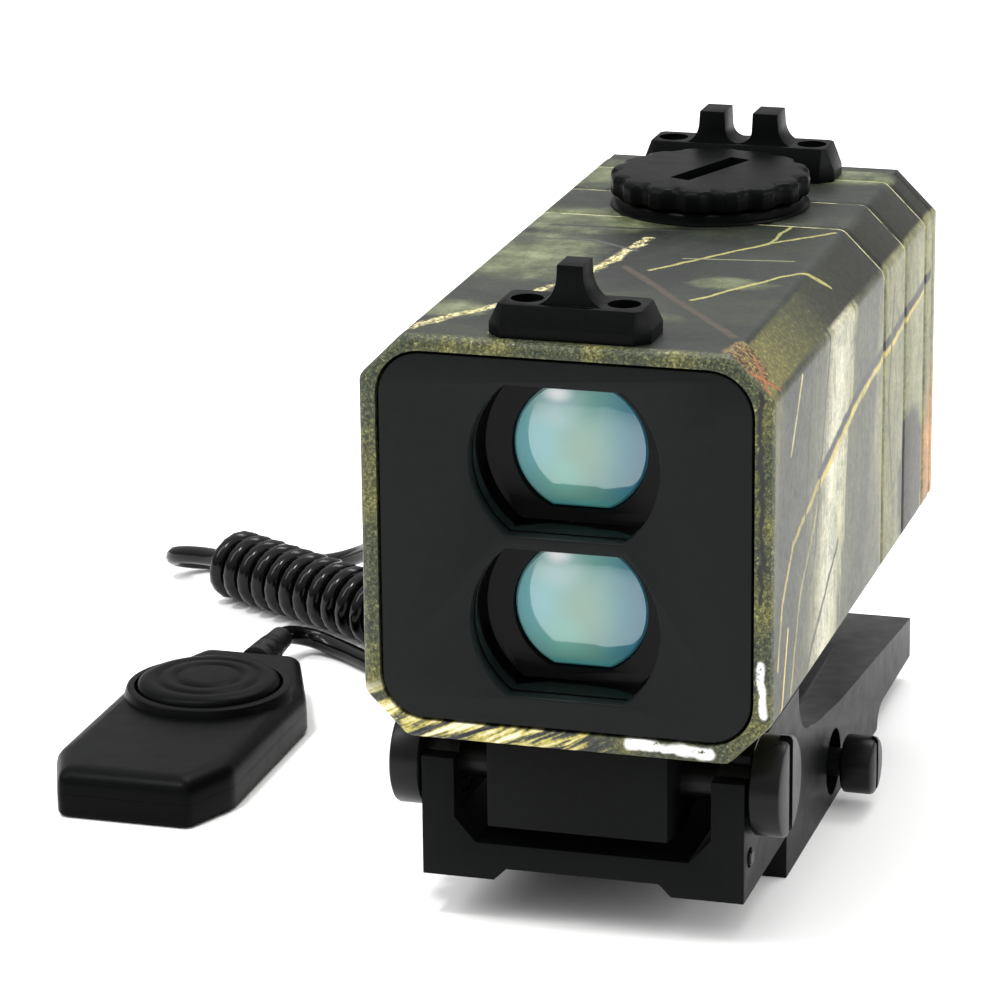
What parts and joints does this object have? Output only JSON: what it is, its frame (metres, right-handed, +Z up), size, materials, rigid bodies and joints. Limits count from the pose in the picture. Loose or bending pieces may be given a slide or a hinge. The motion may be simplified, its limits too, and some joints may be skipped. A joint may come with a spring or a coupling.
{
  "type": "laser rangefinder",
  "caption": "Boxy rail-mounted laser rangefinder with stacked lenses, open sights, battery cap, tilting clamp mount and a curly-cord remote switch.",
  "frame": {"origin": "under the middle of the sight's and mount's footprint, on the surface the mount stands on", "axes": "+Z up, the lenses face -Y, +X is the thumb screw's side"},
  "size_m": [0.1043, 0.1103, 0.0709],
  "materials": {
    "camo_print": "satin printed foliage pattern",
    "panel_black": "satin black",
    "matte_black": "matte",
    "coated_lens": "coated",
    "board_green": "solder mask",
    "cell_wrap": "printed wrap",
    "contact_metal": "plated",
    "black_rubber": "satin",
    "dark_steel": "blackened",
    "black_anodised": "fine blasted, anodised black"
  },
  "bodies": {
    "sight": {"housing_shell": "camo_print", "rear_cover": "camo_print", "front_panel": "panel_black", "display_window": "panel_black", "lens_block": "matte_black", "laser_emitter": "matte_black", "light_sensor": "matte_black", "display_module": "matte_black", "battery_sleeve": "matte_black", "battery_collar": "matte_black", "front_sight": "matte_black", "rear_sight": "matte_black", "switch_base": "matte_black", "switch_cover": "matte_black", "upper_lens": "coated_lens", "lower_lens": "coated_lens", "optics_board": "board_green", "main_board": "board_green", "battery": "cell_wrap", "battery_contact": "contact_metal", "cap_seal": "black_rubber", "strain_relief": "black_rubber", "cord_tail": "black_rubber", "cord_lead": "black_rubber", "cord_coil": "black_rubber", "cord_plug": "black_rubber", "front_sight_screw_left": "dark_steel", "front_sight_screw_right": "dark_steel", "rear_sight_screw_left": "dark_steel", "rear_sight_screw_right": "dark_steel", "cover_screw_1": "dark_steel", "cover_screw_2": "dark_steel", "cover_screw_3": "dark_steel", "cover_screw_4": "dark_steel", "remote_jack": "dark_steel", "cradle_screw_1": "dark_steel", "cradle_screw_2": "dark_steel", "cradle_screw_3": "dark_steel", "cradle_screw_4": "dark_steel", "tilt_cradle": "black_anodised"},
    "yoke": {"pivot_pin": "dark_steel"},
    "mount": {"mount_base": "black_anodised", "set_screw_left": "dark_steel", "set_screw_right": "dark_steel"},
    "windage_left": {"windage_screw_left": "dark_steel"},
    "windage_right": {"windage_screw_right": "dark_steel"},
    "clamp_screw": {"thumb_screw": "dark_steel"},
    "jaw": {"clamp_jaw": "black_anodised"},
    "cap": {"battery_cap": "matte_black"},
    "power_key": {"power_button": "black_rubber"},
    "mode_key": {"mode_button": "black_rubber"},
    "switch_pad": {"switch_button": "black_rubber"}
  },
  "joints": [
    {"name": "elevation", "type": "hinge", "parent": "sight", "child": "yoke", "pos_m": [-0.0004, -0.0343, 0.0159], "axis": [1, 0, 0], "range_deg": [-5, 5]},
    {"name": "windage", "type": "slide", "parent": "yoke", "child": "mount", "axis": [1, 0, 0], "range_m": [-0.0015, 0.0015]},
    {"name": "windage_left_turn", "type": "hinge", "parent": "mount", "child": "windage_left", "pos_m": [-0.0004, -0.0343, 0.0159], "axis": [1, 0, 0], "continuous": true},
    {"name": "windage_right_turn", "type": "hinge", "parent": "mount", "child": "windage_right", "pos_m": [-0.0004, -0.0343, 0.0159], "axis": [1, 0, 0], "continuous": true},
    {"name": "thumb_turn", "type": "hinge", "parent": "mount", "child": "clamp_screw", "pos_m": [-0.0004, 0.003, 0.0047], "axis": [1, 0, 0], "continuous": true},
    {"name": "jaw_slide", "type": "slide", "parent": "mount", "child": "jaw", "axis": [-1, 0, 0], "range_m": [0, 0.002]},
    {"name": "cap_turn", "type": "hinge", "parent": "sight", "child": "cap", "pos_m": [-0.0004, 0.0147, 0.0636], "axis": [0, 0, 1], "continuous": true},
    {"name": "power_press", "type": "slide", "parent": "sight", "child": "power_key", "axis": [0, -1, 0], "range_m": [0, 0.0008], "stiffness_N_per_m": 1200},
    {"name": "mode_press", "type": "slide", "parent": "sight", "child": "mode_key", "axis": [0, -1, 0], "range_m": [0, 0.0008], "stiffness_N_per_m": 1200},
    {"name": "switch_press", "type": "slide", "parent": "sight", "child": "switch_pad", "axis": [0, 0, -1], "range_m": [0, 0.0008], "stiffness_N_per_m": 1500}
  ]
}
